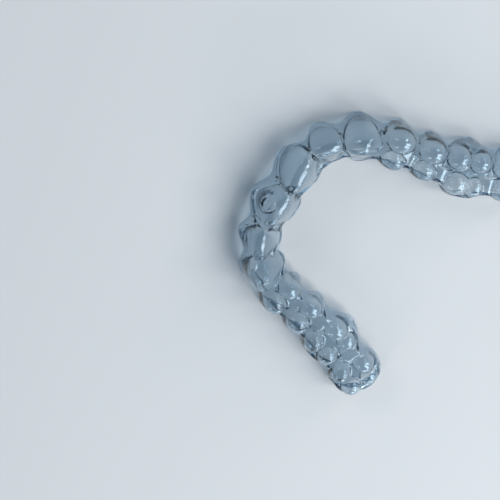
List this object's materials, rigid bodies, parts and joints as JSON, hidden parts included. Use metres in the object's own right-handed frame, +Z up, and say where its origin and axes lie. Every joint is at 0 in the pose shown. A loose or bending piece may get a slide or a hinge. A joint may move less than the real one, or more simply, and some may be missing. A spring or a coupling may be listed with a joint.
{
  "type": "clear aligner",
  "caption": "Clear dental aligner: a thin transparent shell that fits over the whole upper row of teeth, with attachment pads on the front.",
  "frame": {"origin": "middle of the shell's plan, on the surface that its trimmed edges rest on", "axes": "+Z up from the trimmed edges to the biting side, -Y towards the front teeth, +X towards the side with the attachment pads"},
  "size_m": [0.0666, 0.049, 0.0118],
  "materials": {
    "clear_sheet": "clear gloss"
  },
  "bodies": {
    "root": {"aligner_shell": "clear_sheet"}
  },
  "joints": []
}
